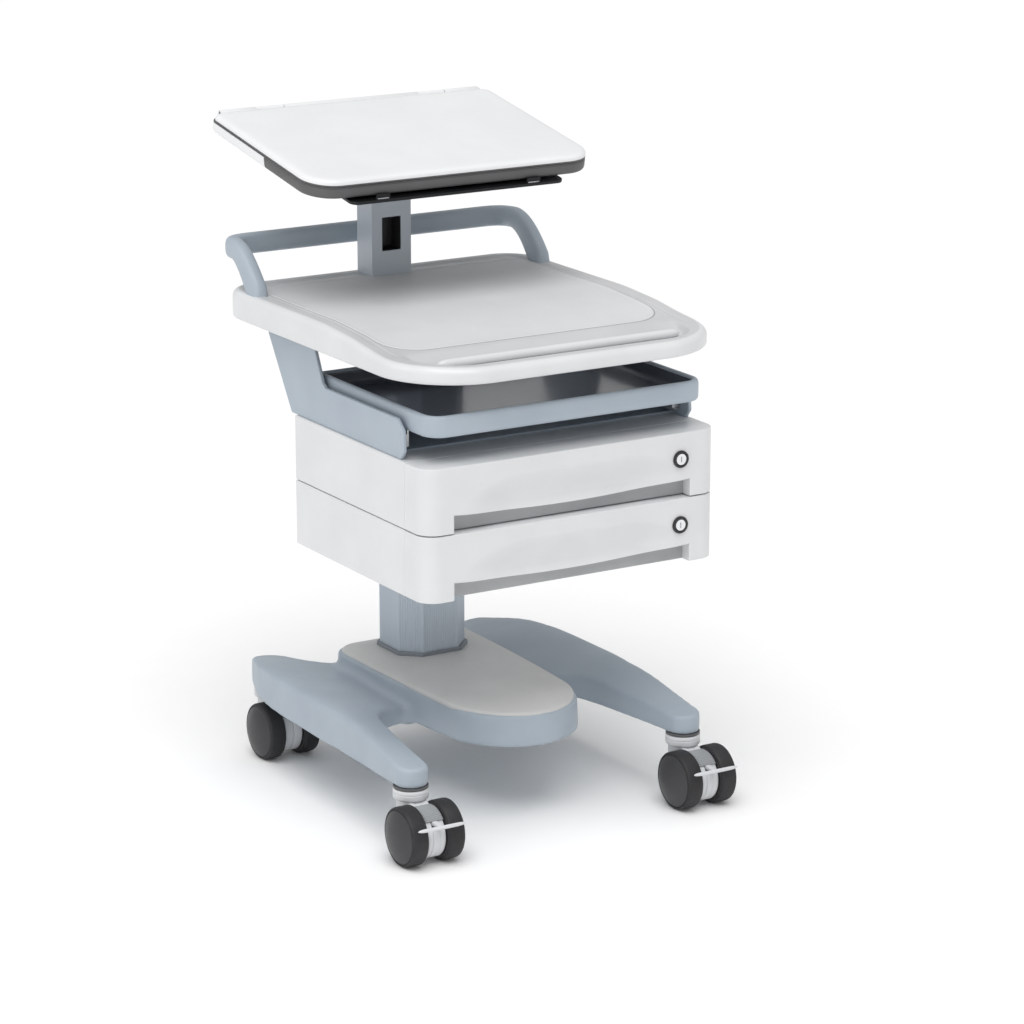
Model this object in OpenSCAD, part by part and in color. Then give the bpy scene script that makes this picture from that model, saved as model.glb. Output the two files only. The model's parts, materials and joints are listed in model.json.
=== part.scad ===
// Mobile ultrasound machine: a folding console on a trolley with a worktop,
// a keyboard tray, two locking drawers and four swivelling casters.
// Millimetres. +X is the right-hand side seen from the front, +Y is the back,
// +Z is up. The floor is z = 0 and the origin is the middle of the footprint.

/* [Casters] */
// Wheel diameter
wheel_d = 75; // [70:1:76]
// Width of one wheel
wheel_w = 33; // [28:1:33]
// Width across the two wheels of a caster
caster_w = 94; // [92:1:98]
// Distance from the swivel axis to the wheel axle
caster_lead = 34; // [32:1:38]
// Diameter of the swivel collar
collar_d = 45; // [40:1:45]
// Distance between the front swivel axes
front_track = 400; // [380:5:420]
// Distance between the rear swivel axes
rear_track = 320; // [300:5:340]
// Place of the front swivel axes
front_stem_y = -214; // [-222:1:-208]
// Place of the rear swivel axes
rear_stem_y = 232; // [224:1:238]

/* [Base] */
// Underside of the legs
leg_z = 90; // [88:1:94]
// Thickness of a leg at its tips
leg_tip_h = 28; // [24:1:32]
// Thickness of a leg at its middle
leg_mid_h = 48; // [40:1:52]
// Height of the joint between the casting and its cap
cap_z = 140; // [136:1:142]
// Thickness of the cap at its rim
cap_t = 9; // [7:1:11]
// Half width of the cap at the back
cap_half_w = 97; // [90:1:102]

/* [Column] */
// Width of the column
column_w = 100; // [90:1:104]
// Depth of the column
column_d = 98; // [90:1:98]

/* [Cabinet] */
// Width of the cabinet
cab_w = 420; // [400:5:430]
// Front of the drawers
cab_front = -270; // [-275:1:-265]
// Back of the cabinet
cab_back = 57; // [50:1:60]
// Underside of the cabinet
cab_z = 332; // [326:1:336]
// Height of one drawer module
module_h = 84; // [80:1:84]
// Depth of the drawer front round its corners
front_wrap = 48; // [40:1:55]

/* [Keyboard bay] */
// Height of the bay between the cabinet and the worktop
bay_h = 100; // [96:1:104]
// Width across the side plates
bay_w = 414; // [404:2:420]
// Thickness of the side plates
plate_t = 5; // [4:1:6]
// Height of the tray
tray_h = 27; // [24:1:30]

/* [Worktop] */
// Width of the worktop
top_w = 452; // [440:2:460]
// Front of the worktop
top_front = -290; // [-293:1:-287]
// Back of the worktop
top_back = 231; // [226:1:234]
// Thickness at the back
top_h = 36; // [34:1:38]
// Thickness at the front
top_front_h = 21; // [19:1:23]

/* [Console] */
// Width of the console
con_w = 410; // [400:2:416]
// Depth of the console along its slope
con_d = 290; // [280:1:292]
// Tilt of the console at rest
con_tilt = 10; // [8:1:12]
// Thickness of the lower half
con_h = 15; // [14.5:0.5:16]
// Thickness of the lid
lid_h = 9.6; // [9:0.2:10]

/* [Hidden] */
$fn = 48;
eps = 0.01;
hull_fn = 28;

// colours
paint = [0.67, 0.71, 0.74];
white = [0.93, 0.93, 0.93];
pale = [0.79, 0.79, 0.79];
dark = [0.30, 0.31, 0.33];
black = [0.12, 0.12, 0.13];
steel = [0.72, 0.73, 0.75];

// casters
wheel_r = wheel_d / 2;
wheel_in = caster_w / 2 - wheel_w;
axle_r = 4;
axle_z = wheel_r;
axle_half = caster_w / 2 - 7;
collar_z = 72.5;
seal_t = 3;
stem_r = 6;
web_half = wheel_in - 1.2;
brake_y = -caster_lead - wheel_r - 4;
brake_z = 57;
brake_half = 33;
brake_pin_y = brake_y + 22;
brake_pin_r = 1.5;
stems = [
    [-front_track / 2, front_stem_y], [front_track / 2, front_stem_y],
    [-rear_track / 2, rear_stem_y], [rear_track / 2, rear_stem_y]
];

// base
leg_front = [187, -77];
leg_front_r = 28;
leg_back = [176, 83];
leg_back_r = 38;
tip_r = 24;
hub_r = 86;
hub_front = -203;
hub_back = 178;
hub_back_r = 25;
hub_z = 97;
hub_h = cap_z - hub_z;
web_front = -50;
web_back = 186;
web_notch_x = 122;
web_notch_r = 28;
ballast = [150, 240, 22];
ballast_y = -122;
cap_rise = 3;

// column
column_y = cab_back + column_d / 2;
column_chamfer = 24;
column_wall = 4;
flange_half = 55;
bolt_at = 48;

// cabinet
lower_z = cab_z;
upper_z = cab_z + module_h;
cab_top = cab_z + 2 * module_h;
wall = 3;
corner_r = 24;
split_y = cab_front + front_wrap;
box_half = 194;
box_back = 33;
rail_gap = 12.7;
rail_h = 27;
lock_x = 154;
lock_dz = 50;
lock_r = 7;
lock_body_r = 9;
lock_body_h = 8;
cam_l = 14;

// keyboard bay
bay_z = cab_top;
top_z = bay_z + bay_h;
bay_floor = bay_z - 0.5;
shelf_t = 3;
tray_z = bay_z + 33;
tray_half = 197;
tray_front = -262;
tray_back = 27;
tray_rail_h = 20;
tray_rail_z = bay_z + 9;

// worktop
frame_t = 4;
mat_half = 197;
mat_front = -179;
mat_back = 189;
mat_t = 3;
bead_y = -235;
bead_half = 165;
bead_r = 5;

// grab handle
bar_w = 21;
bar_h = 27;
bar_sides = 20;
bar_y = 243;
bar_z = top_z + top_h + 47.5;
foot_x = 209.5;
foot = [foot_x, 152, top_z + top_h];
elbow = [foot_x - 3, 220, bar_z + 0.5];
half_path = concat(
    [for (i = [0 : 6]) bend(foot, [foot_x, 190, bar_z + 4], elbow, i / 6)],
    [for (i = [1 : 6]) bend(elbow, [foot_x - 5, bar_y, bar_z], [foot_x - 36, bar_y, bar_z], i / 6)]
);
handle_path = concat(
    half_path,
    [for (i = [len(half_path) - 1 : -1 : 0]) [-half_path[i][0], half_path[i][1], half_path[i][2]]]
);

// post and console mount
post_half = 29;
post_front = 179;
post_back = 219;
post_y = (post_front + post_back) / 2;
post_top = 777;
window = [28, 44];
window_z = 667;
pivot_z = 788;
pivot_pin_r = 5;
con_y = 9;
con_z = 777;
plate_w = 308;
plate_gap = 3;

// console
hinge_v = con_d - lid_h / 2;
hinge_w = con_h + 0.4 + lid_h / 2;
deck_w = 11;
split_v = 130;
hinge_x = 120;
knuckle_half = 20;
ball_v = 62;
ball_r = 6;
ball_w = 8.7;
knob_x = 150;
button_x = 60;
control_v = 62;

// ---------- shared shapes ----------

// Flat outline: a rectangle between two corners with its own radius at the front and at the back
module round_outline(half, front, back, r_front, r_back) {
    hull() {
        for (s = [-1, 1]) {
            translate([s * (half - r_front), front + r_front]) circle(r_front);
            translate([s * (half - r_back), back - r_back]) circle(r_back);
        }
    }
}

// Round disc with a softened top edge, used inside hulls
module puck(r, h, soft) {
    cylinder(r = r, h = h - soft, $fn = hull_fn);
    translate([0, 0, h - soft]) cylinder(r1 = r, r2 = r - 0.3 * soft, h = 0.6 * soft, $fn = hull_fn);
    cylinder(r = r - soft, h = h, $fn = hull_fn);
}

// Frame of the console: +Y runs up its slope from the front edge, +Z is square to it
module console_frame() {
    translate([0, con_y, con_z]) rotate([con_tilt, 0, 0]) children();
}

// Mirrored pair left and right
module both_sides() {
    children();
    mirror([1, 0, 0]) children();
}

// ---------- base ----------

// Profile of a leg's underside and top between two places
module leg_piece(a, ra, ha, b, rb, hb) {
    hull() {
        translate([a[0], a[1], leg_z]) puck(ra, ha, 9);
        translate([b[0], b[1], leg_z]) puck(rb, hb, 9);
    }
}

module base_casting() {
    color(paint) difference() {
        union() {
            both_sides() {
                leg_piece(stems[1], tip_r, leg_tip_h, leg_front, leg_front_r, leg_mid_h - 3);
                leg_piece(leg_front, leg_front_r, leg_mid_h - 3, leg_back, leg_back_r, leg_mid_h);
                leg_piece(leg_back, leg_back_r, leg_mid_h, stems[3], tip_r, leg_tip_h + 6);
            }
            hull() {
                translate([0, hub_front + hub_r, hub_z]) cylinder(r = hub_r, h = hub_h, $fn = 2 * hull_fn);
                for (s = [-1, 1]) translate([s * (cap_half_w + 3 - hub_back_r), hub_back - hub_back_r, hub_z])
                    cylinder(r = hub_back_r, h = hub_h, $fn = hull_fn);
            }
            // web between the hub and the legs, hollowed at the front and the back
            translate([0, 0, hub_z - 3]) linear_extrude(32) difference() {
                translate([-leg_back[0], web_front]) square([2 * leg_back[0], web_back - web_front]);
                for (s = [-1, 1]) {
                    translate([s * web_notch_x, web_front]) circle(web_notch_r);
                    translate([s * web_notch_x, web_back]) circle(web_notch_r);
                }
            }
        }
        // cavity for the ballast
        translate([-ballast[0] / 2 - 3, ballast_y - 5, leg_z]) cube([ballast[0] + 6, ballast[1] + 10, 33]);
        // sockets of the caster stems
        for (p = stems) {
            translate([p[0], p[1], leg_z - 1]) cylinder(r = stem_r, h = 21);
        }
        // seat of the column flange
        translate([-flange_half - 1, column_y - flange_half - 1, cap_z - 4])
            cube([2 * flange_half + 2, 2 * flange_half + 2, 5]);
    }
}

// Outline of the cap drawn in by g: round at the nose, broader at the back
module cap_outline(g) {
    nose_r = hub_r - 3;
    back_r = 36;
    hull() {
        translate([0, hub_front + hub_r]) circle(nose_r - g);
        for (s = [-1, 1]) translate([s * (cap_half_w - back_r), hub_back - 1 - back_r])
            circle(max(back_r - g, 1));
    }
}

module base_cap() {
    color(pale) difference() {
        hull() {
            translate([0, 0, cap_z]) linear_extrude(cap_t - 4) cap_outline(0);
            translate([0, 0, cap_z]) linear_extrude(cap_t) cap_outline(5);
            translate([0, 0, cap_z]) linear_extrude(cap_t + cap_rise) cap_outline(35);
        }
        // clearance for the column and its flange
        translate([-flange_half - 1.5, column_y - flange_half - 1.5, cap_z - 1])
            cube([2 * flange_half + 3, 2 * flange_half + 3, 9]);
        translate([0, column_y, cap_z + 3]) column_section(cap_t + 5, 0.2);
    }
}

module ballast_plate() {
    color(steel) translate([-ballast[0] / 2, ballast_y, hub_z + 4]) cube(ballast);
}

// Eight-sided section of the column extrusion, grown by g
module column_section(h, g) {
    x = column_w / 2 + g;
    y = column_d / 2 + g;
    c = column_chamfer;
    linear_extrude(h) polygon([
        [x, -y + c], [x, y - c], [x - c, y], [-x + c, y], [-x, y - c], [-x, -y + c], [-x + c, -y], [x - c, -y]
    ]);
}

module column() {
    color(paint) {
        // welded foot flange
        translate([-flange_half, column_y - flange_half, cap_z - 4]) cube([2 * flange_half, 2 * flange_half, 6]);
        difference() {
            translate([0, column_y, cap_z + 2]) column_section(top_z - cap_z - 2, 0);
            translate([0, column_y, cap_z + 10]) column_section(top_z - cap_z, -column_wall);
        }
    }
}

module column_collar() {
    color(dark) difference() {
        translate([0, column_y, cap_z + cap_t + cap_rise]) column_section(5, 3);
        translate([0, column_y, cap_z + cap_t]) column_section(20, 0);
    }
}

module caster_stems() {
    color(dark) for (p = stems) {
        translate([p[0], p[1], 0]) {
            translate([0, 0, leg_z - 18]) cylinder(r = stem_r, h = 37);
            translate([0, 0, leg_z - seal_t]) cylinder(d = collar_d - 1, h = seal_t);
        }
    }
}

// Cap-head bolt with its head up, standing on the origin
module cap_bolt() {
    difference() {
        cylinder(r = 5, h = 5);
        translate([0, 0, 2.5]) cylinder(r = 2.9, h = 4, $fn = 6);
    }
}

// Bolts through the column's foot flange
module frame_bolts() {
    color(steel) for (x = [-bolt_at, bolt_at], y = [-bolt_at, bolt_at])
        translate([x, column_y + y, cap_z + 2]) cap_bolt();
}

// Screws that hold the console plate on the tilt bracket
module plate_screws() {
    color(steel) console_frame() for (x = [-40, 40], v = [172, 206])
        translate([x, v, -plate_gap]) cylinder(r = 4, h = 1.6);
}

// ---------- casters ----------

// Housing: collar, web between the wheels and the axle, swivel axis at the origin
module caster_housing() {
    web_r = 31;
    color(pale) difference() {
        union() {
            translate([0, 0, collar_z]) cylinder(d = collar_d, h = leg_z - seal_t - 0.4 - collar_z);
            translate([0, -caster_lead, axle_z]) rotate([0, 90, 0])
                cylinder(r = web_r, h = 2 * web_half, center = true, $fn = 64);
            translate([-web_half, -caster_lead, axle_z - 10]) cube([2 * web_half, caster_lead + 14, 44]);
            translate([0, -caster_lead, axle_z]) rotate([0, 90, 0])
                cylinder(r = axle_r, h = 2 * axle_half, center = true);
        }
        translate([0, 0, leg_z - 22]) cylinder(r = stem_r + 0.06, h = 30);
        // slot of the brake lever
        translate([-4.5, brake_y, brake_z - 8]) cube([9, 27.5, 30]);
    }
}

// Wheel on the +X side of the web, axle along X through the origin
module wheel() {
    dome = 10;
    dome_r = wheel_r - 4;
    big = (dome_r * dome_r + dome * dome) / (2 * dome);
    rim = wheel_w - dome;
    steps = 10;
    color(black) rotate([0, 90, 0]) rotate_extrude($fn = 96) polygon(concat(
        [[axle_r + 0.05, wheel_in], [wheel_r - 3, wheel_in], [wheel_r - 0.9, wheel_in + 0.9],
         [wheel_r, wheel_in + 3], [wheel_r, wheel_in + rim - 3], [wheel_r - 1.2, wheel_in + rim - 0.9]],
        [for (i = [steps : -1 : 0]) let (r = dome_r * i / steps)
            [r, wheel_in + rim + dome - (big - sqrt(big * big - r * r))]],
        [[0, axle_half + 0.5], [axle_r + 0.05, axle_half + 0.5]]
    ));
}

// Brake lever: bar in front of the wheels on an arm into the housing
module brake_lever() {
    color(pale) difference() {
        union() {
            translate([-brake_half, brake_y - 4, brake_z - 2.5]) cube([2 * brake_half, 7, 5]);
            translate([-4.2, brake_y, brake_z - 2.5]) cube([8.4, brake_pin_y - brake_y, 5]);
            translate([0, brake_pin_y, brake_z]) rotate([0, 90, 0]) cylinder(r = 4.5, h = 8.4, center = true);
        }
        translate([0, brake_pin_y, brake_z]) rotate([0, 90, 0])
            cylinder(r = brake_pin_r + 0.06, h = 20, center = true);
    }
}

module at_stem(i) {
    translate([stems[i][0], stems[i][1], 0]) children();
}

module housing_with_pin(i) {
    at_stem(i) {
        caster_housing();
        if (i < 2) {
            color(steel) translate([0, brake_pin_y, brake_z]) rotate([0, 90, 0])
                cylinder(r = brake_pin_r, h = 2 * web_half - 1, center = true);
        }
    }
}

module wheel_at(i, side) {
    at_stem(i) translate([0, -caster_lead, axle_z]) {
        if (side > 0) wheel();
        else mirror([1, 0, 0]) wheel();
    }
}

module front_left_housing() { housing_with_pin(0); }
module front_right_housing() { housing_with_pin(1); }
module rear_left_housing() { housing_with_pin(2); }
module rear_right_housing() { housing_with_pin(3); }
module front_left_wheel_outer() { wheel_at(0, -1); }
module front_left_wheel_inner() { wheel_at(0, 1); }
module front_right_wheel_outer() { wheel_at(1, 1); }
module front_right_wheel_inner() { wheel_at(1, -1); }
module rear_left_wheel_outer() { wheel_at(2, -1); }
module rear_left_wheel_inner() { wheel_at(2, 1); }
module rear_right_wheel_outer() { wheel_at(3, 1); }
module rear_right_wheel_inner() { wheel_at(3, -1); }
module front_left_brake() { at_stem(0) brake_lever(); }
module front_right_brake() { at_stem(1) brake_lever(); }

// ---------- cabinet ----------

// Open-fronted housing of one module, standing at height z
module drawer_housing(z) {
    color(white) difference() {
        translate([-cab_w / 2, split_y + 0.5, z + 0.5]) cube([cab_w, cab_back - split_y - 0.5, module_h - 1]);
        translate([-cab_w / 2 + wall, split_y - 1, z + 0.5 + wall])
            cube([cab_w - 2 * wall, cab_back - split_y + 1 - wall, module_h - 1 - 2 * wall]);
    }
}
module upper_housing() { drawer_housing(upper_z); }
module lower_housing() { drawer_housing(lower_z); }

// Fixed rail: a channel open towards the middle, its back against x = half
module fixed_rail(half, y0, y1, z0, h, depth) {
    t = 1.5;
    translate([half - t, y0, z0]) cube([t, y1 - y0, h]);
    translate([half - depth, y0, z0]) cube([depth - t + eps, y1 - y0, t]);
    translate([half - depth, y0, z0 + h - t]) cube([depth - t + eps, y1 - y0, t]);
}

// Moving rail: a bar that runs inside the channel
module moving_rail(half, y0, y1, z0, h, depth, gap) {
    t = 2.1;
    translate([half - gap, y0, z0 + t]) cube([depth, y1 - y0, h - 2 * t]);
}

module drawer_fixed_rails() {
    color(steel) for (z = [lower_z, upper_z]) both_sides()
        fixed_rail(cab_w / 2 - wall, split_y + 14, cab_back - 8, z + 24, rail_h, 9);
}

// Drawer tray, open at the top, at module height z
module drawer_box(z) {
    bottom = z + 12;
    h = 56;
    front = cab_front + 18;
    color(pale) difference() {
        translate([-box_half, front, bottom]) cube([2 * box_half, box_back - front, h]);
        translate([-box_half + wall, front + wall, bottom + wall])
            cube([2 * (box_half - wall), box_back - front - 2 * wall, h]);
    }
}

// Drawer front: wraps both corners, with a finger recess along its lower edge
module drawer_front(z) {
    h = module_h - 1.6;
    face_t = 18;
    grip_half = 169;
    grip_h = 22;
    grip_deep = 11.5;
    rise = 7;
    grip_r = (grip_half * grip_half + rise * rise) / (2 * rise);
    color(white) translate([0, 0, z + 0.8]) difference() {
        linear_extrude(h) front_outline();
        // pocket that takes the front of the box
        translate([-box_half - 0.6, cab_front + face_t - 0.1, 8]) cube([2 * box_half + 1.2, front_wrap, h - 12]);
        // finger recess, its top edge sagging in the middle
        difference() {
            translate([-grip_half, cab_front - 1, -1]) cube([2 * grip_half, grip_deep + 1, grip_h + 1]);
            translate([0, cab_front - 2, grip_h - rise + grip_r]) rotate([-90, 0, 0])
                cylinder(r = grip_r, h = 20, $fn = 360);
        }
        // hole of the lock and room for its cam
        translate([lock_x, cab_front, lock_dz - 0.8]) rotate([-90, 0, 0]) {
            translate([0, 0, -1]) cylinder(r = lock_body_r, h = 14);
            translate([0, 0, lock_body_h + 0.5]) cylinder(r = cam_l + 2, h = 14);
        }
    }
}

// Front of a module in plan, round at both corners
module front_outline() {
    half = cab_w / 2;
    translate([-half, cab_front + corner_r]) square([cab_w, split_y - cab_front - corner_r]);
    translate([-half + corner_r, cab_front]) square([cab_w - 2 * corner_r, corner_r + eps]);
    for (s = [-1, 1]) translate([s * (half - corner_r), cab_front + corner_r]) circle(corner_r);
}

module drawer_rails(z) {
    color(steel) both_sides()
        moving_rail(cab_w / 2 - wall, split_y + 14, box_back - 6, z + 24, rail_h, rail_gap - 2.4, rail_gap + 0.3);
}

// Lock body pressed into the drawer front, its face ring proud of the front
module lock_body(z) {
    color(black) translate([lock_x, cab_front, z + lock_dz]) rotate([-90, 0, 0]) difference() {
        union() {
            translate([0, 0, -3]) cylinder(r = lock_body_r + 2, h = 3);
            cylinder(r = lock_body_r, h = lock_body_h);
        }
        translate([0, 0, -4]) cylinder(r = lock_r + 0.05, h = 40);
    }
}

// Lock cylinder with its key slot and a short cam inside the drawer front
module lock_cylinder(z) {
    color(steel) translate([lock_x, cab_front, z + lock_dz]) {
        rotate([-90, 0, 0]) difference() {
            translate([0, 0, -2.4]) cylinder(r = lock_r, h = lock_body_h + 3.6);
            translate([-0.7, -3.5, -3]) cube([1.4, 7, 6]);
        }
        translate([-4, lock_body_h + 1, -4]) cube([8, 2.4, cam_l + 4]);
    }
}

module upper_drawer_box() { drawer_box(upper_z); }
module upper_drawer_front() { drawer_front(upper_z); }
module upper_drawer_rails() { drawer_rails(upper_z); }
module upper_lock_body() { lock_body(upper_z); }
module upper_lock_cylinder() { lock_cylinder(upper_z); }
module lower_drawer_box() { drawer_box(lower_z); }
module lower_drawer_front() { drawer_front(lower_z); }
module lower_drawer_rails() { drawer_rails(lower_z); }
module lower_lock_body() { lock_body(lower_z); }
module lower_lock_cylinder() { lock_cylinder(lower_z); }

// ---------- keyboard bay ----------

// Side plate: a low arm at the front that rises to the worktop at the back
module right_side_plate() {
    color(paint) translate([bay_w / 2 - plate_t, 0, 0]) rotate([90, 0, 90]) linear_extrude(plate_t) polygon([
        [-207, bay_floor], [71, bay_floor], [133, top_z - 6], [135, top_z], [11, top_z],
        [-11, bay_z + 54], [-19, bay_z + 49], [-199, bay_z + 49], [-213, bay_z + 36], [-215, bay_z + 10]
    ]);
}
module left_side_plate() { mirror([1, 0, 0]) right_side_plate(); }

module bay_shelf() {
    color(paint) translate([-bay_w / 2 + plate_t, -178, bay_floor]) cube([bay_w - 2 * plate_t, 230, shelf_t]);
}

module tray_fixed_rails() {
    color(steel) both_sides()
        fixed_rail(bay_w / 2 - plate_t, -197, 49, tray_rail_z, tray_rail_h, 9);
}

module tray_moving_rails() {
    color(steel) both_sides() union() {
        moving_rail(bay_w / 2 - plate_t, -197, 23, tray_rail_z, tray_rail_h, rail_gap - 2.4, rail_gap);
        translate([bay_w / 2 - plate_t - rail_gap, -197, tray_rail_z + 4])
            cube([2.6, 220, tray_z - tray_rail_z - 4]);
    }
}

// Shallow tray with a thick rounded rim
module keyboard_tray() {
    rim = 13;
    color(paint) difference() {
        hull() {
            translate([0, 0, tray_z + 6]) linear_extrude(tray_h - 12)
                round_outline(tray_half, tray_front, tray_back, 26, 12, $fn = hull_fn);
            translate([0, 0, tray_z]) linear_extrude(tray_h)
                round_outline(tray_half - 4, tray_front + 4, tray_back - 4, 22, 8, $fn = hull_fn);
        }
        translate([0, 0, tray_z + 5]) linear_extrude(tray_h)
            round_outline(tray_half - rim, tray_front + rim, tray_back - rim, 14, 6);
    }
}

// ---------- worktop ----------

// Outline of the worktop, drawn in by g all round
module top_outline(g) {
    round_outline(top_w / 2 - g, top_front + g, top_back - g, 104 - g, 52 - g, $fn = 64);
}

// Side profile of the worktop's upper surface, the full width
module top_profile(drop) {
    rotate([90, 0, 90]) translate([0, 0, -top_w]) linear_extrude(2 * top_w) polygon([
        [top_front - 5, top_z - 5], [top_back + 5, top_z - 5], [top_back + 5, top_z + top_h - drop],
        [-30, top_z + top_h - drop], [-107, top_z + top_h - 6 - drop], [-162, top_z + top_front_h + 2 - drop],
        [-203, top_z + top_front_h - drop], [top_front + 14, top_z + top_front_h - drop],
        [top_front - 5, top_z + top_front_h - 7 - drop]
    ]);
}

module worktop() {
    shell = 5;
    color(white) difference() {
        union() {
            intersection() {
                union() {
                    translate([0, 0, top_z + 4]) linear_extrude(top_h - 7) top_outline(0);
                    translate([0, 0, top_z]) linear_extrude(top_h + 2) top_outline(3);
                }
                top_profile(0);
            }
            // bead across the front
            translate([0, bead_y, top_z + top_front_h - 2]) {
                rotate([0, 90, 0]) cylinder(r = bead_r, h = 2 * bead_half, center = true);
                for (s = [-1, 1]) translate([s * bead_half, 0, 0]) sphere(r = bead_r);
            }
        }
        // hollow underneath
        intersection() {
            translate([0, 0, top_z - 1]) linear_extrude(top_h) top_outline(shell);
            translate([0, 0, -1]) top_profile(2 * shell);
        }
        // recess for the mat
        translate([0, 0, top_z + top_h - 4]) linear_extrude(10) mat_outline(-0.3);
        // slot for the post
        translate([-post_half - 0.5, post_front - 0.5, top_z])
            cube([2 * post_half + 1, post_back - post_front + 1, 60]);
    }
}

module mat_outline(g) {
    half = mat_half - g;
    difference() {
        round_outline(half, mat_front + g, mat_back - g, 52, 20, $fn = 64);
        translate([-post_half - 1, post_front - 1]) square([2 * post_half + 2, 60]);
    }
}

module worktop_mat() {
    color(pale) intersection() {
        translate([0, 0, top_z + top_h - 4]) linear_extrude(mat_t) mat_outline(0);
        translate([0, 0, -0.8]) top_profile(0);
    }
}

module worktop_frame() {
    color(steel) union() {
        translate([-214, -177, top_z]) cube([428, 375, frame_t]);
        translate([-70, 150, top_z]) cube([140, post_back + 3 - 150, frame_t]);
    }
}

// Grab handle: one bent bar, swept as a ring of points along its centre line
module grab_handle() {
    rings = len(handle_path);
    color(paint) polyhedron(
        points = [for (i = [0 : rings - 1], k = [0 : bar_sides - 1]) handle_point(i, k)],
        faces = concat(
            [for (i = [0 : rings - 2], k = [0 : bar_sides - 1]) let (n = (k + 1) % bar_sides)
                [i * bar_sides + k, (i + 1) * bar_sides + k, (i + 1) * bar_sides + n, i * bar_sides + n]],
            [[for (k = [0 : bar_sides - 1]) k]],
            [[for (k = [bar_sides - 1 : -1 : 0]) (rings - 1) * bar_sides + k]]
        )
    );
}

function unit(v) = v / norm(v);
function bend(a, b, c, t) = (1 - t) * (1 - t) * a + 2 * t * (1 - t) * b + t * t * c;
function handle_way(i) = unit(handle_path[min(i + 1, len(handle_path) - 1)] - handle_path[max(i - 1, 0)]);
// Point k of ring i: a rounded rectangle square to the bar, laid flat at the two feet
function handle_point(i, k) =
    let (
        t = handle_way(i),
        side = unit([t[1], -t[0], 0]),
        foot = i == 0 || i == len(handle_path) - 1,
        up = foot ? [0, -1.25, 0] : cross(side, t),
        a = 360 * k / bar_sides,
        c = cos(a), q = sin(a)
    )
    handle_path[i] + side * bar_w / 2 * sign(c) * pow(abs(c), 0.6) + up * bar_h / 2 * sign(q) * pow(abs(q), 0.6);

// ---------- post and console mount ----------

module post() {
    w = 3;
    depth = post_back - post_front;
    z0 = top_z + frame_t;
    color(paint) {
        difference() {
            translate([-post_half, post_front, z0]) cube([2 * post_half, depth, post_top - z0]);
            translate([-post_half + w, post_front + w, z0 + 6])
                cube([2 * (post_half - w), depth - 2 * w, post_top - z0 - 14]);
            translate([-window[0] / 2, post_front - 1, window_z]) cube([window[0], w + 2, window[1]]);
        }
        // clevis for the tilt pin
        for (s = [-1, 1]) difference() {
            hull() {
                translate([s * 24.5, post_y, pivot_z]) rotate([0, 90, 0])
                    cylinder(r = 10, h = 7, center = true, $fn = 32);
                translate([s * 24.5 - 3.5, post_y - 15, post_top - 1]) cube([7, 30, 1]);
            }
            translate([s * 24.5, post_y, pivot_z]) rotate([0, 90, 0])
                cylinder(r = pivot_pin_r, h = 30, center = true);
        }
        translate([0, post_y, pivot_z]) rotate([0, 90, 0]) cylinder(r = pivot_pin_r, h = 56, center = true);
    }
}

module tilt_bracket() {
    color(dark) difference() {
        union() {
            translate([0, post_y, pivot_z]) rotate([0, 90, 0]) cylinder(r = 10, h = 41, center = true);
            console_frame() {
                translate([-60, 160, -plate_gap - 8]) cube([120, 58, 4]);
                translate([-18, 178, -plate_gap - 18]) cube([36, 22, 12]);
            }
        }
        translate([0, post_y, pivot_z]) rotate([0, 90, 0]) cylinder(r = pivot_pin_r + 0.05, h = 60, center = true);
    }
}

module console_plate() {
    color(black) console_frame() {
        hull() for (s = [-1, 1], v = [2, 240]) translate([s * (plate_w / 2 - 10), v, -plate_gap - 4])
            cylinder(r = 10, h = 4, $fn = hull_fn);
        // clips that hook over the console's front edge
        for (s = [-1, 1]) translate([s * 109 - 10, -5, -plate_gap - 4])
            cube([20, 3.5, 10]);
    }
}

// ---------- console ----------

module con_outline(g) {
    round_outline(con_w / 2 - g, g, con_d - g, 40 - g, 20 - g, $fn = 64);
}

module console_case() {
    w = 2.4;
    color(white) console_frame() difference() {
        union() {
            linear_extrude(con_h - 1.6) intersection() {
                con_outline(0);
                translate([-con_w, split_v]) square([2 * con_w, con_d]);
            }
            linear_extrude(w) con_outline(5);
            for (s = [-1, 1], v = [24, 250]) translate([s * 150, v, -plate_gap]) cylinder(r = 9, h = plate_gap + eps);
        }
        translate([0, 0, w]) linear_extrude(con_h) con_outline(w);
    }
}

module control_deck() {
    w = 2.4;
    color(dark) console_frame() difference() {
        union() {
            translate([0, 0, con_h - 1.5]) linear_extrude(1.5) con_outline(0.4);
            translate([0, 0, 2.6]) linear_extrude(con_h - 2.6) difference() {
                intersection() {
                    con_outline(0);
                    translate([-con_w, -1]) square([2 * con_w, split_v + 0.8]);
                }
                con_outline(w);
            }
            translate([0, 0, deck_w - 2]) linear_extrude(con_h - deck_w + 1) round_outline(186, 22, 262, 16, 10);
        }
        translate([0, 0, deck_w]) linear_extrude(con_h) round_outline(184, 24, 260, 14, 8);
        // seats of the controls
        translate([0, ball_v, deck_w - 5]) cylinder(r = ball_r + 0.3, h = 20);
        translate([knob_x, control_v, deck_w - 5]) cylinder(r = 3.05, h = 20);
        translate([button_x, control_v, deck_w - 5]) cylinder(r = 9.3, h = 20);
    }
}

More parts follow.
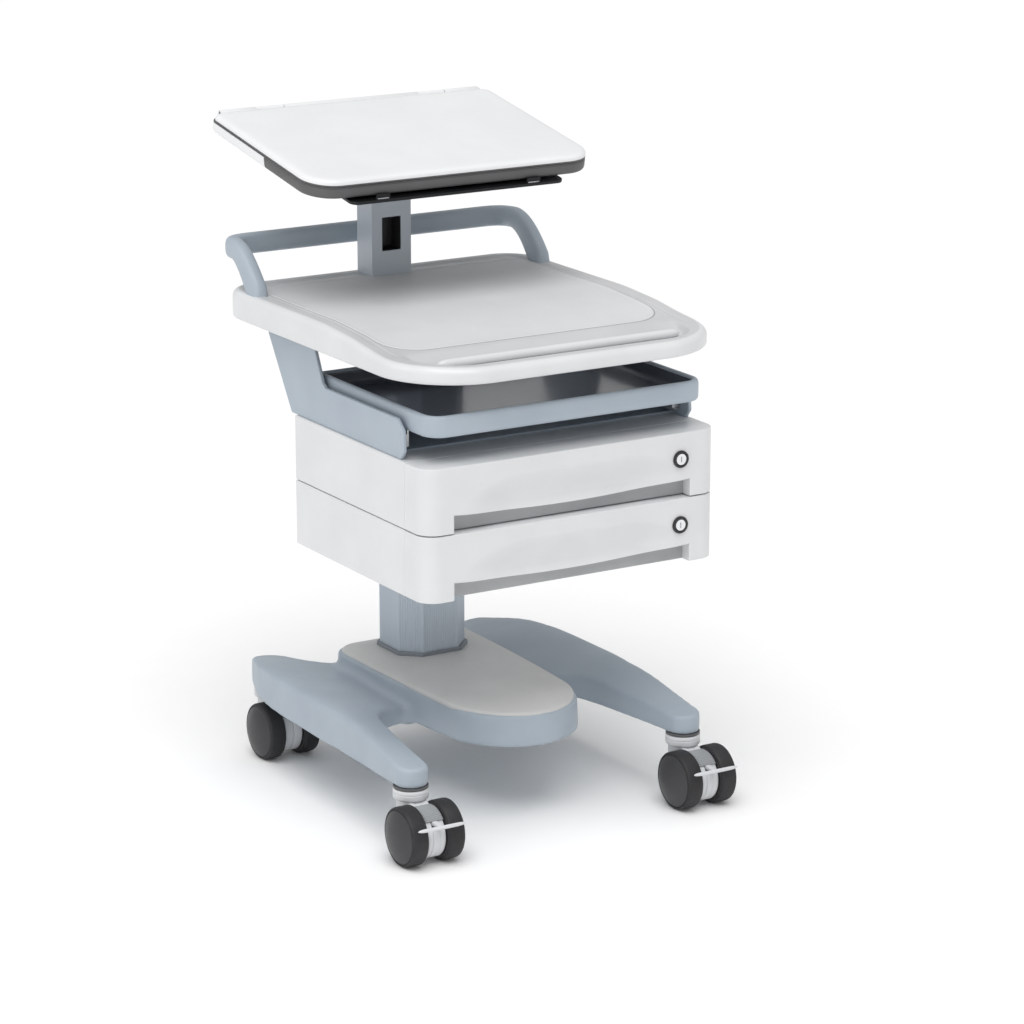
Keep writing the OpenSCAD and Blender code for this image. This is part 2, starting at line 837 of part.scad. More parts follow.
// Fixed block of sealed keys
module keyboard() {
    key = 17;
    pitch = 19;
    cols = 15;
    bar_keys = 3;
    key_w = deck_w + 0.9;
    key_h = 1.8;
    color(black) console_frame() {
        translate([-146, 118, deck_w]) cube([2 * 146, 98, 1]);
        for (row = [0 : 4], col = [0 : cols - 1]) {
            place = col - (cols - 1) / 2;
            if (row > 0 || abs(place) > bar_keys) translate([place * pitch - key / 2, 120 + row * pitch, key_w])
                cube([key, key, key_h]);
        }
        translate([-bar_keys * pitch - key / 2, 120, key_w]) cube([2 * bar_keys * pitch + key, key, key_h]);
    }
}

module trackball() {
    color(pale) console_frame() translate([0, ball_v, ball_w]) sphere(r = ball_r);
}

module gain_knob() {
    color(dark) console_frame() translate([knob_x, control_v, 0]) {
        translate([0, 0, deck_w + 0.3]) cylinder(r = 13, h = 3.2);
        translate([0, 0, 5]) cylinder(r = 3, h = 8);
    }
}

module freeze_button() {
    color(pale) console_frame() translate([button_x, control_v, 0]) {
        translate([0, 0, 8.2]) cylinder(r = 9, h = 6);
    }
}

module battery_pack() {
    color(black) console_frame() translate([-170, 216, 2.6]) cube([150, 50, 6]);
}

module main_board() {
    color([0.1, 0.35, 0.2]) console_frame() translate([-170, 100, 2.6]) cube([340, 108, 1.6]);
}

// Two knuckles on the lower half with the pins that carry the lid
module lid_hinge() {
    color(dark) console_frame() for (s = [-1, 1]) translate([s * hinge_x, hinge_v, 0]) {
        translate([0, 0, hinge_w]) rotate([0, 90, 0]) {
            cylinder(r = lid_h / 2 - 0.3, h = 2 * knuckle_half, center = true);
            cylinder(r = 2, h = 2 * knuckle_half + 24, center = true);
        }
        translate([-knuckle_half, -lid_h / 2 + 0.3, con_h]) cube([2 * knuckle_half, lid_h - 0.6, lid_h / 2]);
    }
}

module lid_shell() {
    z0 = con_h + 0.4;
    color(white) console_frame() difference() {
        union() {
            hull() {
                translate([0, 0, z0]) linear_extrude(lid_h - 3.5) lid_outline(0);
                translate([0, 0, z0]) linear_extrude(lid_h - 0.8) lid_outline(3);
                translate([0, 0, z0]) linear_extrude(lid_h) lid_outline(9);
            }
            translate([0, hinge_v, hinge_w]) rotate([0, 90, 0])
                cylinder(r = lid_h / 2, h = con_w - 44, center = true, $fn = 48);
        }
        // cavity for the display
        translate([0, 0, z0 - 1]) linear_extrude(lid_h - 1.2) round_outline(190, 14, 272, 20, 8);
        // gaps for the hinge knuckles
        for (s = [-1, 1]) translate([s * hinge_x - knuckle_half - 0.4, hinge_v - lid_h / 2 - 1.2, z0 - 1])
            cube([2 * knuckle_half + 0.8, lid_h + 10, lid_h + 3]);
        translate([0, hinge_v, hinge_w]) rotate([0, 90, 0]) cylinder(r = 2.05, h = 2 * hinge_x + 80, center = true);
    }
}

// Outline of the lid's flat part, ending at the hinge axis
module lid_outline(g) {
    round_outline(con_w / 2 - g, g, hinge_v, 40 - g, 12, $fn = 64);
}

module lid_bezel() {
    z0 = con_h + 0.4;
    color(black) console_frame() translate([0, 0, z0]) linear_extrude(1.4) difference() {
        round_outline(189.7, 14.3, 271.7, 19.7, 7.7);
        translate([-170, 17]) square([340, 250]);
    }
}

module display_panel() {
    color(black) console_frame() translate([-172, 16, con_h + 0.4 + 1.5]) cube([344, 254, 5]);
}

base_casting();
base_cap();
ballast_plate();
column();
column_collar();
caster_stems();
frame_bolts();
upper_housing();
lower_housing();
drawer_fixed_rails();
left_side_plate();
right_side_plate();
bay_shelf();
tray_fixed_rails();
worktop();
worktop_mat();
worktop_frame();
grab_handle();
post();
upper_drawer_box();
upper_drawer_front();
upper_drawer_rails();
upper_lock_body();
upper_lock_cylinder();
lower_drawer_box();
lower_drawer_front();
lower_drawer_rails();
lower_lock_body();
lower_lock_cylinder();
keyboard_tray();
tray_moving_rails();
tilt_bracket();
console_plate();
plate_screws();
console_case();
control_deck();
keyboard();
trackball();
gain_knob();
freeze_button();
battery_pack();
main_board();
lid_hinge();
lid_shell();
lid_bezel();
display_panel();
front_left_housing();
front_right_housing();
rear_left_housing();
rear_right_housing();
front_left_wheel_outer();
front_left_wheel_inner();
front_right_wheel_outer();
front_right_wheel_inner();
rear_left_wheel_outer();
rear_left_wheel_inner();
rear_right_wheel_outer();
rear_right_wheel_inner();
front_left_brake();
front_right_brake();
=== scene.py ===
import json
import math

import bmesh
import bpy
import numpy as np
from mathutils import Matrix, Vector


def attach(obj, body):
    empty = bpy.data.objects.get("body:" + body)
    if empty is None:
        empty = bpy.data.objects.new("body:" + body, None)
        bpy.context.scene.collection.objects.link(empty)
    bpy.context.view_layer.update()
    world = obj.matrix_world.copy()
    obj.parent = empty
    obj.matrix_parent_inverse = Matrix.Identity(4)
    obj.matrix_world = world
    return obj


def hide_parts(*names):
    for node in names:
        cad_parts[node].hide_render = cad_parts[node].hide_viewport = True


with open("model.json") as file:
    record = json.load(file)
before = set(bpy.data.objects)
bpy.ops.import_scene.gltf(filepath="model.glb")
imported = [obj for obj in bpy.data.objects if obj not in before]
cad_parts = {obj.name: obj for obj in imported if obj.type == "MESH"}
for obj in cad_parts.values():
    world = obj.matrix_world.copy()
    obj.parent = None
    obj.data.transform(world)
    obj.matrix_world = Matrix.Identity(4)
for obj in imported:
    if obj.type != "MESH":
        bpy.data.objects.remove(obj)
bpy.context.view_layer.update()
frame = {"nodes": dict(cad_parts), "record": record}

MM = 0.001
NODES = frame["nodes"]
BODY = {n: b for b, group in frame["record"]["behaviour"]["bodies"].items() for n in group}


# ---------- materials ----------

def srgb(r, g, b):
    def lin(v):
        v /= 255.0
        return v / 12.92 if v <= 0.04045 else ((v + 0.055) / 1.055) ** 2.4
    return (lin(r), lin(g), lin(b), 1.0)


def finish(name, base, alt, rough, rough_span=0.08, metal=0.0, patch=14.0, grain=650.0, depth=0.04,
           detail=3.0, spec=0.5, coat=0.0, stretch=(1, 1, 1), speckle=0.0):
    """A material with drifting colour, uneven gloss and a fine moulded or sprayed grain."""
    m = bpy.data.materials.new(name)
    m.use_nodes = True
    t = m.node_tree
    bsdf = t.nodes["Principled BSDF"]
    bsdf.inputs["Metallic"].default_value = metal
    bsdf.inputs["Specular IOR Level"].default_value = spec
    bsdf.inputs["Coat Weight"].default_value = coat
    bsdf.inputs["Coat Roughness"].default_value = 0.12
    where = t.nodes.new("ShaderNodeTexCoord")
    size = t.nodes.new("ShaderNodeMapping")
    size.inputs["Scale"].default_value = stretch
    t.links.new(where.outputs["Object"], size.inputs["Vector"])

    def noise(scale, octaves):
        n = t.nodes.new("ShaderNodeTexNoise")
        n.inputs["Scale"].default_value = scale
        n.inputs["Detail"].default_value = octaves
        t.links.new(size.outputs["Vector"], n.inputs["Vector"])
        return n

    drift = noise(patch, 4.0)
    ramp = t.nodes.new("ShaderNodeValToRGB")
    ramp.color_ramp.elements[0].position = 0.32
    ramp.color_ramp.elements[0].color = srgb(*base)
    ramp.color_ramp.elements[1].position = 0.68
    ramp.color_ramp.elements[1].color = srgb(*alt)
    t.links.new(drift.outputs["Fac"], ramp.inputs["Fac"])
    fine = noise(grain, detail)
    colour = ramp.outputs["Color"]
    if speckle:
        mix = t.nodes.new("ShaderNodeMix")
        mix.data_type = "RGBA"
        mix.blend_type = "MULTIPLY"
        mix.inputs["Factor"].default_value = speckle
        t.links.new(colour, mix.inputs["A"])
        t.links.new(fine.outputs["Fac"], mix.inputs["B"])
        colour = mix.outputs["Result"]
    t.links.new(colour, bsdf.inputs["Base Color"])
    gloss = t.nodes.new("ShaderNodeMapRange")
    gloss.inputs["To Min"].default_value = rough - rough_span
    gloss.inputs["To Max"].default_value = rough + rough_span
    t.links.new(noise(patch * 7, 3.0).outputs["Fac"], gloss.inputs["Value"])
    t.links.new(gloss.outputs["Result"], bsdf.inputs["Roughness"])
    bump = t.nodes.new("ShaderNodeBump")
    bump.inputs["Strength"].default_value = 1.0
    bump.inputs["Distance"].default_value = depth * MM
    t.links.new(fine.outputs["Fac"], bump.inputs["Height"])
    t.links.new(bump.outputs["Normal"], bsdf.inputs["Normal"])
    return m


PAINT = finish("powder_coat_blue_grey", (165, 176, 187), (171, 182, 192), 0.46, grain=900, depth=0.05)
# painted light: the post's blue-grey paint is lighter than PAINT to stand in for the light that the console's
# shadow takes off its front
POST_PAINTED_LIGHT = finish("post_paint_with_painted_light", (186, 195, 204), (192, 200, 208), 0.44, grain=900, depth=0.05)
CAP = finish("base_cap_plastic", (196, 196, 195), (203, 203, 202), 0.42, grain=1100, depth=0.03)
# partly the casting's own blue-grey, partly darkened below PAINT as painted shade on the leg tips, inner
# walls and hub skirt
CAST_PAINTED_SHADE = finish("casting_blue_grey_with_painted_shade", (159, 170, 181), (166, 177, 187), 0.44, grain=700, depth=0.06)
# painted light: the column's blue-grey is raised above PAINT to stand in for fill light under the worktop and
# cabinet; the slight metal sheen is its own
EXTRUSION_PAINTED_LIGHT = finish("anodised_extrusion_with_painted_light", (180, 190, 200), (187, 196, 206), 0.36, metal=0.2, grain=1200,
                   depth=0.02, stretch=(1, 1, 0.04))
WHITE = finish("white_moulding", (217, 218, 220), (222, 223, 224), 0.37, rough_span=0.06,
               grain=1500, depth=0.012, coat=0.15)
LID = finish("white_lid", (231, 232, 233), (235, 236, 237), 0.36, rough_span=0.05,
             grain=900, depth=0.002, coat=0.2)
PALE = finish("pale_moulding", (204, 204, 204), (211, 211, 210), 0.42, grain=1100, depth=0.03)
TOP = finish("pale_top", (198, 199, 201), (204, 205, 206), 0.36, grain=1100, depth=0.02, coat=0.1)
# painted light: the mat sheet's pale grey is lightened to make up for the console's shadow falling on it
MAT_PAINTED_LIGHT = finish("worktop_mat", (215, 216, 218), (220, 221, 222), 0.5, grain=1300, depth=0.07, speckle=0.08)
COLLAR = finish("column_seal", (124, 130, 137), (132, 138, 145), 0.55, grain=1000, depth=0.05)
FENDER = finish("fender_grey", (146, 149, 152), (157, 160, 163), 0.5, grain=900, depth=0.05)
GREY = finish("grey_moulding", (158, 160, 162), (166, 168, 170), 0.5, grain=900, depth=0.04)
NYLON = finish("caster_nylon", (206, 208, 211), (216, 217, 219), 0.45, grain=1000, depth=0.03)
DARK = finish("dark_moulding", (84, 84, 85), (92, 92, 93), 0.48, grain=1000, depth=0.04)
BLACK = finish("black_moulding", (30, 31, 33), (38, 39, 41), 0.4, grain=1200, depth=0.03)
PLATE = finish("black_anodised_plate", (26, 27, 29), (33, 34, 36), 0.36, metal=0.5, grain=1600, depth=0.015)
# partly the liner's own dark blue-grey, partly lightened as painted light against the deep shade inside the
# tray
WELL_PAINTED_LIGHT = finish("tray_liner_with_painted_light", (88, 93, 105), (98, 103, 114), 0.22, rough_span=0.04,
              grain=1100, depth=0.015, coat=0.5, speckle=0.1)
STEEL = finish("zinc_plated_steel", (176, 178, 181), (196, 197, 199), 0.34, rough_span=0.05,
               metal=1.0, patch=60, grain=500, depth=0.02, stretch=(1, 0.15, 1))
CHROME = finish("turned_face", (224, 226, 229), (238, 239, 240), 0.2, rough_span=0.05,
                metal=0.7, patch=40, grain=1500, depth=0.01)
TYRE = finish("wheel_tread", (30, 30, 32), (39, 39, 41), 0.62, patch=30, grain=420, depth=0.25)
COVER = finish("wheel_cover", (50, 50, 52), (58, 58, 60), 0.46, patch=24, grain=1200, depth=0.04)
BOARD = finish("circuit_board", (22, 78, 44), (30, 92, 52), 0.4, patch=90, grain=700, depth=0.05)
SCREEN = finish("display_glass", (12, 13, 16), (16, 17, 20), 0.08, rough_span=0.02,
                grain=300, depth=0.002, coat=0.6)
KEYCAP = finish("key_caps", (52, 54, 57), (60, 62, 65), 0.55, grain=1400, depth=0.05)


# ---------- mesh building ----------

def span(a, b, step):
    return list(np.linspace(a, b, max(2, int(round(abs(b - a) / step)) + 1)))


def interp_smooth(x, xs, ys, width):
    """Straight pieces between the given points, with their corners rounded over that width."""
    total = 0
    for w, k in ((-0.5, 1), (-0.25, 2), (0, 2), (0.25, 2), (0.5, 1)):
        total = total + k * np.interp(x + w * width, xs, ys)
    return total / 8


def step01(x):
    x = np.clip(x, 0, 1)
    return x * x * (3 - 2 * x)


class Build:
    """Collects the vertices and faces of one piece, in millimetres."""

    def __init__(self):
        self.v, self.f, self.m = [], [], []

    def add(self, verts, faces, mat=0):
        base = len(self.v)
        self.v.extend([tuple(map(float, p)) for p in verts])
        self.f.extend([tuple(base + int(i) for i in f) for f in faces])
        self.m.extend([mat] * len(faces))

    def loft(self, rings, mats=None, low=True, high=True, loop=True):
        """Skin over rings of equal length; mats gives one number per band."""
        n = len(rings[0])
        base = len(self.v)
        for r in rings:
            self.v.extend([tuple(map(float, p)) for p in r])
        last = n if loop else n - 1
        for k in range(len(rings) - 1):
            for i in range(last):
                j = (i + 1) % n
                a, b = base + k * n, base + (k + 1) * n
                self.f.append((a + i, a + j, b + j, b + i))
                self.m.append(mats[k] if mats else 0)
        if low:
            self.f.append(tuple(base + i for i in reversed(range(n))))
            self.m.append(mats[0] if mats else 0)
        if high:
            self.f.append(tuple(base + (len(rings) - 1) * n + i for i in range(n)))
            self.m.append(mats[-1] if mats else 0)

    def lathe(self, profile, frame_, n=72, mats=None, low=True, high=True):
        """Turn (radius, height) points about the frame's Z."""
        turns = [2 * math.pi * i / n for i in range(n)]
        rings = [[frame_ @ Vector((r * math.cos(a), r * math.sin(a), h)) for a in turns] for r, h in profile]
        self.loft(rings, mats, low, high)

    def box(self, lo, hi, frame_=None, soft=0.8, mat=0):
        """A block with a small round on every edge."""
        rings = []
        (x0, y0, z0), (x1, y1, z1) = lo, hi
        for ins, z in ((soft, z0), (soft * 0.3, z0 + soft * 0.3), (0, z0 + soft),
                       (0, z1 - soft), (soft * 0.3, z1 - soft * 0.3), (soft, z1)):
            c = [(x0 + ins, y0 + ins), (x1 - ins, y0 + ins), (x1 - ins, y1 - ins), (x0 + ins, y1 - ins)]
            ring = []
            for (cx, cy), a0 in zip(c, (180, 270, 0, 90)):
                sx = 1 if a0 in (180, 90) else -1
                sy = 1 if a0 in (180, 270) else -1
                for k in range(4):
                    a = math.radians(a0 + 30 * k)
                    ring.append((cx + soft * (sx + math.cos(a)), cy + soft * (sy + math.sin(a)), z))
            rings.append(ring)
        if frame_ is not None:
            rings = [[frame_ @ Vector(p) for p in r] for r in rings]
        self.loft(rings, [mat] * 5)

    def piece(self, name, body, mats, slot, stands=(), sharp=32, place=None):
        mesh = bpy.data.meshes.new(name)
        pts = self.v if place is None else [place @ Vector(p) for p in self.v]
        mesh.from_pydata([(p[0] * MM, p[1] * MM, p[2] * MM) for p in pts], [], self.f)
        for m in mats:
            mesh.materials.append(m)
        mesh.polygons.foreach_set("material_index", self.m)
        mesh.polygons.foreach_set("use_smooth", [True] * len(mesh.polygons))
        bm = bmesh.new()
        bm.from_mesh(mesh)
        bmesh.ops.remove_doubles(bm, verts=bm.verts, dist=2e-6)
        bmesh.ops.recalc_face_normals(bm, faces=bm.faces)
        bm.to_mesh(mesh)
        bm.free()
        mesh.set_sharp_from_angle(angle=math.radians(sharp))
        o = bpy.data.objects.new(name, mesh)
        bpy.context.scene.collection.objects.link(o)
        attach(o, body)
        if stands:
            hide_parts(*stands)
        return o


def outline(half, front, back, r_front, r_back, inset=0.0, arc=14, side=8):
    """Points round a rectangle with round corners, drawn in by inset, always the same number."""
    h, f, b = max(half - inset, 0.2), front + inset, back - inset
    if b - f < 0.4:
        f = b = (f + b) / 2
        f, b = f - 0.2, b + 0.2
    limit = min(h, (b - f) / 2)
    rf, rb = min(max(r_front - inset, 0.05), limit), min(max(r_back - inset, 0.05), limit)
    corners = [(h - rf, f + rf, rf, -90), (h - rb, b - rb, rb, 0),
               (-h + rb, b - rb, rb, 90), (-h + rf, f + rf, rf, 180)]
    pts = []
    for k, (cx, cy, r, a0) in enumerate(corners):
        for i in range(arc + 1):
            a = math.radians(a0 + 90.0 * i / arc)
            pts.append((cx + r * math.cos(a), cy + r * math.sin(a)))
        nx, ny, nr, na = corners[(k + 1) % 4]
        end = (nx + nr * math.cos(math.radians(na)), ny + nr * math.sin(math.radians(na)))
        start = pts[-1]
        for i in range(1, side):
            pts.append((start[0] + (end[0] - start[0]) * i / side, start[1] + (end[1] - start[1]) * i / side))
    return pts


def at_height(pts, z):
    return [(x, y, z) for x, y in pts]


def squircle(n, w, h, power):
    """Points of a rounded rectangle of half sizes w and h, as (across, up)."""
    pts = []
    for i in range(n):
        c, q = math.cos(2 * math.pi * i / n), math.sin(2 * math.pi * i / n)
        pts.append((w * math.copysign(abs(c) ** power, c), h * math.copysign(abs(q) ** power, q)))
    return pts


# ---------- carried-over CAD nodes ----------

def shading_group():
    g = bpy.data.node_groups.new("shade_by_angle", "GeometryNodeTree")
    g.interface.new_socket("Geometry", in_out="INPUT", socket_type="NodeSocketGeometry")
    g.interface.new_socket("Geometry", in_out="OUTPUT", socket_type="NodeSocketGeometry")
    first, last = g.nodes.new("NodeGroupInput"), g.nodes.new("NodeGroupOutput")
    angle = g.nodes.new("GeometryNodeInputMeshEdgeAngle")
    over = g.nodes.new("FunctionNodeCompare")
    over.data_type = "FLOAT"
    over.operation = "GREATER_THAN"
    over.inputs[1].default_value = math.radians(38)
    shade = g.nodes.new("GeometryNodeSetMeshNormal")
    g.links.new(first.outputs[0], shade.inputs["Mesh"])
    g.links.new(angle.outputs["Unsigned Angle"], over.inputs[0])
    g.links.new(over.outputs["Result"], shade.inputs["Edge Sharpness"])
    g.links.new(shade.outputs["Mesh"], last.inputs[0])
    return g


SHADE = shading_group()


def dress(nodes, material, width=0.8):
    """Give CAD nodes their finish, round their edges and smooth their curves."""
    for n in nodes:
        o = NODES[n]
        o.data.materials.clear()
        o.data.materials.append(material)
        weld = o.modifiers.new("weld", "WELD")
        weld.merge_threshold = 2e-6
        flat = o.modifiers.new("flat", "DECIMATE")
        flat.decimate_type = "DISSOLVE"
        flat.angle_limit = math.radians(1.2)
        if width:
            edge = o.modifiers.new("edge", "BEVEL")
            edge.width = width * MM
            edge.segments = 3
            edge.limit_method = "ANGLE"
            edge.angle_limit = math.radians(42)
            edge.use_clamp_overlap = True
        o.modifiers.new("shade", "NODES").node_group = SHADE
        weighted = o.modifiers.new("weighted", "WEIGHTED_NORMAL")
        weighted.keep_sharp = True


dress(["ballast_plate", "frame_bolts", "plate_screws"], STEEL, 0.4)
dress(["drawer_fixed_rails", "tray_fixed_rails", "upper_drawer_rails", "lower_drawer_rails",
       "tray_moving_rails"], STEEL, 0.3)
dress(["worktop_frame"], STEEL, 0.8)
dress(["caster_stems", "tilt_bracket"], DARK, 0.5)
dress(["column_collar"], COLLAR, 0.8)
dress(["lid_hinge"], LID, 0.3)
dress(["upper_housing", "lower_housing"], WHITE, 1.6)
dress(["left_side_plate", "right_side_plate"], PAINT, 1.4)
dress(["bay_shelf"], PAINT, 0.6)
# the post gets the lightened copy of the blue-grey paint, painted light against the console's shadow
dress(["post"], POST_PAINTED_LIGHT, 1.8)
dress(["upper_drawer_box", "lower_drawer_box"], PALE, 0.8)
dress(["upper_lock_cylinder", "lower_lock_cylinder"], CHROME, 0.25)
dress(["console_plate"], PLATE, 0.6)
dress(["keyboard"], KEYCAP, 0.5)
dress(["battery_pack", "lid_bezel"], BLACK, 0.4)
dress(["main_board"], BOARD, 0.2)
dress(["display_panel"], SCREEN, 0.3)
dress(["gain_knob"], DARK, 0.8)
dress(["freeze_button"], PALE, 0.8)
dress(["trackball"], CHROME, 0)


# ---------- base ----------

def smooth_min(a, b, k):
    h = np.clip(0.5 + 0.5 * (b - a) / k, 0, 1)
    return b + (a - b) * h - k * h * (1 - h)


def smooth_max(a, b, k):
    return -smooth_min(-a, -b, k)


def tapered(x, y, a, b):
    """Distance in plan to a line of changing width."""
    (ax, ay, ra), (bx, by, rb) = a, b
    dx, dy = bx - ax, by - ay
    t = np.clip(((x - ax) * dx + (y - ay) * dy) / (dx * dx + dy * dy), 0, 1)
    return np.hypot(x - ax - t * dx, y - ay - t * dy) - (ra + (rb - ra) * t)


def round_box(x, y, half_x, y0, y1, r):
    qx = np.abs(x) - half_x + r
    qy = np.abs(y - (y0 + y1) / 2) - (y1 - y0) / 2 + r
    return np.hypot(np.maximum(qx, 0), np.maximum(qy, 0)) + np.minimum(np.maximum(qx, qy), 0) - r


def casting_field(x, y, z):
    ax = np.abs(x)
    # plan of one leg: an outer and an inner edge between two round tips
    outer = interp_smooth(y, [-214, -90, 75, 130, 190, 232], [221.2, 217, 214, 211, 199, 184.6], 50)
    inner = interp_smooth(y, [-214, -165, -90, -10, 75, 130, 232],
                          [178.8, 173.5, 163, 152, 140, 134, 135.6], 60)
    leg = np.maximum(np.maximum(ax - outer, inner - ax), np.maximum(-214 - y, y - 232))
    leg = np.minimum(leg, np.minimum(np.hypot(ax - 200, y + 214) - 21.2, np.hypot(ax - 160, y - 232) - 24.5))
    # the web joins it to the hub with wide arches
    web = round_box(x, y, 172, -22, 182, 10)
    plan = smooth_min(leg, web, 62)
    crown = interp_smooth(y, [-236, -214, -170, -130, -95, -40, 95, 160, 205, 235, 258],
                          [114, 116.5, 124.5, 132.5, 137, 139.5, 139.5, 137.5, 132, 126, 122], 44)
    fall = interp_smooth(y, [-236, -205, -160, -110, -60, 0, 95, 160, 235],
                         [0.02, 0.08, 0.28, 0.44, 0.34, 0.2, 0.17, 0.19, 0.1], 40)
    across = np.maximum(outer - ax - 7, 0)
    top = np.maximum(crown - fall * across * across / (across + 14), 115)
    body = smooth_max(plan, z - top, 4.5)
    body = smooth_max(body, 90.3 + 5 * step01((165 - ax) / 30) - z, 3)
    # hub with a nearly upright skirt, narrower at its nose
    flare = 1.8 * np.clip((140 - z) / 40, 0, 1)
    nose, tail = tapered(ax, y, (0, -118, 85), (0, 40, 97)), round_box(x, y, 98.5, -20, 179, 30)
    hub = smooth_min(nose, tail, 8) - flare
    hub = smooth_max(hub, z - 143, 5)
    hub = smooth_max(hub, 97.5 + 4 * step01((-60 - y) / 120) - z, 6)
    return smooth_min(body, hub, 13)


def surface_net(field, origin, step):
    """Quads through the zero of a sampled field, one vertex per crossed cell."""
    inside = field < 0
    shape = np.array(field.shape) - 1
    pos = np.zeros((*shape, 3))
    count = np.zeros(shape)
    corner = [(i, j, k) for i in (0, 1) for j in (0, 1) for k in (0, 1)]

    def at(grid, c):
        return grid[c[0]:c[0] + shape[0], c[1]:c[1] + shape[1], c[2]:c[2] + shape[2]]

    for a in corner:
        for axis in range(3):
            if a[axis]:
                continue
            b = list(a)
            b[axis] = 1
            fa, fb = at(field, a), at(field, b)
            cross = at(inside, a) != at(inside, b)
            t = np.where(cross, fa / np.where(cross, fa - fb, 1), 0)
            p = np.zeros((*shape, 3))
            p[...] = a
            p[..., axis] += t
            pos += p * cross[..., None]
            count += cross
    used = count > 0
    ids = np.full(shape, -1)
    ids[used] = np.arange(used.sum())
    cells = np.argwhere(used)
    verts = np.array(origin) + (cells + pos[used] / count[used][:, None]) * step
    faces = []
    for axis in range(3):
        u, v = [i for i in range(3) if i != axis]
        lo, hi = [slice(None)] * 3, [slice(None)] * 3
        lo[axis], hi[axis] = slice(0, -1), slice(1, None)
        cross = inside[tuple(lo)] != inside[tuple(hi)]
        for e in np.argwhere(cross):
            if e[u] < 1 or e[v] < 1 or e[u] > shape[u] - 1 or e[v] > shape[v] - 1:
                continue
            quad = []
            for du, dv in ((-1, -1), (0, -1), (0, 0), (-1, 0)):
                c = list(e)
                c[u] += du
                c[v] += dv
                quad.append(int(ids[tuple(c)]))
            if min(quad) >= 0:
                faces.append(quad)
    return verts, faces


step = 2.5
gx, gy, gz = np.arange(-226, 228, step), np.arange(-240, 264, step), np.arange(86, 148, step)
X, Y, Z = np.meshgrid(gx, gy, gz, indexing="ij")
verts, faces = surface_net(casting_field(X, Y, Z), (gx[0], gy[0], gz[0]), step)
casting = Build()
casting.add(verts, faces)
# the casting wears the darkened blue-grey, partly painted shade
casting_piece = casting.piece("base_casting_cast", "base", [CAST_PAINTED_SHADE], "painted_casting", ["base_casting"],
                              sharp=80)
relax = casting_piece.modifiers.new("relax", "SMOOTH")
relax.factor = 0.5
relax.iterations = 2

cap = Build()
rings = []
for ins, z in ((2.0, 138.5), (0.6, 140.5), (0, 142.2), (0, 143.6), (0.4, 144.7), (1.2, 145.6), (2.4, 146.3),
               (4, 146.8), (7, 147.5), (11, 148.3), (16, 149.2), (22, 150.1), (30, 151.0), (40, 151.7),
               (55, 152.1), (75, 152.3), (90, 152.3)):
    pts = outline(95, -200, 174.5, 90, 30, ins, arc=26, side=14)
    narrow = [min(max((70 - y) / 240, 0), 1.15) for x, y in pts]
    rings.append([(x * (1 - 0.05 * u - 0.09 * u * u), y, z) for (x, y), u in zip(pts, narrow)])
cap.loft(rings)
cap.piece("base_cap_cover", "base", [CAP], "pale_plastic", ["base_cap"], sharp=50)

# the column is an extrusion with fine ribs all round
column = Build()
half_w, half_d, cy, ch = 50.0, 49.0, 106.0, 24.0
corners = [(half_w - ch, cy - half_d), (half_w, cy - half_d + ch), (half_w, cy + half_d - ch),
           (half_w - ch, cy + half_d), (-half_w + ch, cy + half_d), (-half_w, cy + half_d - ch),
           (-half_w, cy - half_d + ch), (-half_w + ch, cy - half_d)]
ring = []
for k, a in enumerate(corners):
    a, b = Vector(a), Vector(corners[(k + 1) % 8])
    way = (b - a).normalized()
    inward = Vector((-way.y, way.x))
    length = (b - a).length
    ribs = round((length - 4) / 3.4)
    for s in np.linspace(0, length, ribs * 5 + 9)[:-1]:
        t = (s - 2) / (length - 4)
        cut = 0.35 * (1 - math.cos(2 * math.pi * t * ribs)) if 0 < t < 1 else 0
        p = a + way * s + inward * cut
        ring.append((p.x, p.y))
column.loft([at_height(ring, z) for z in (152.2, 599.9)])
# the column gets the lightened extrusion finish, painted light for its shaded place under the cabinet
column.piece("column_extrusion", "base", [EXTRUSION_PAINTED_LIGHT], "painted_steel", ["column"], sharp=50)


# ---------- casters ----------

LEAD = 34.0
WHEEL_R = 37.5
BRAKE_Z = 57.0


def wheel_piece(name, stem, side, stands):
    """Solid wheel with a separate tread and a domed cover."""
    dome_r, dome, rim = 33.4, 10.0, 36.6
    big = (dome_r ** 2 + dome ** 2) / (2 * dome)
    profile = [(4.4, 14.2), (27.5, 14.2), (28.3, 14.9), (29.2, 14.9), (30, 14.2), (34.6, 14.2), (36.2, 14.9),
               (37.1, 16.2), (37.5, 18), (37.5, 32.4), (37.2, 34.3), (36.4, 35.8), (35.3, 36.6), (34.5, 36.6),
               (34, 36), (33.4, 36)]
    tread = len(profile) - 1
    for k in range(0, 15):
        r = dome_r * math.cos(math.pi / 2 * k / 14) if k else dome_r - 0.25
        profile.append((max(r, 0.4), min(rim + dome - (big - math.sqrt(big * big - r * r)), 46.8)))
    b = Build()
    to_x = Matrix.Rotation(math.radians(90), 4, "Y")
    place = Matrix.Translation((stem[0], stem[1] - LEAD, WHEEL_R)) @ Matrix.Scale(side, 4, (1, 0, 0)) @ to_x
    mats = [0] * tread + [1] * (len(profile) - 1 - tread)
    for k in range(5):
        mats[k] = 1
    b.lathe(profile, place, n=96, mats=mats)
    return b.piece(name, BODY[stands], [TYRE, COVER], "wheel", [stands], sharp=40)


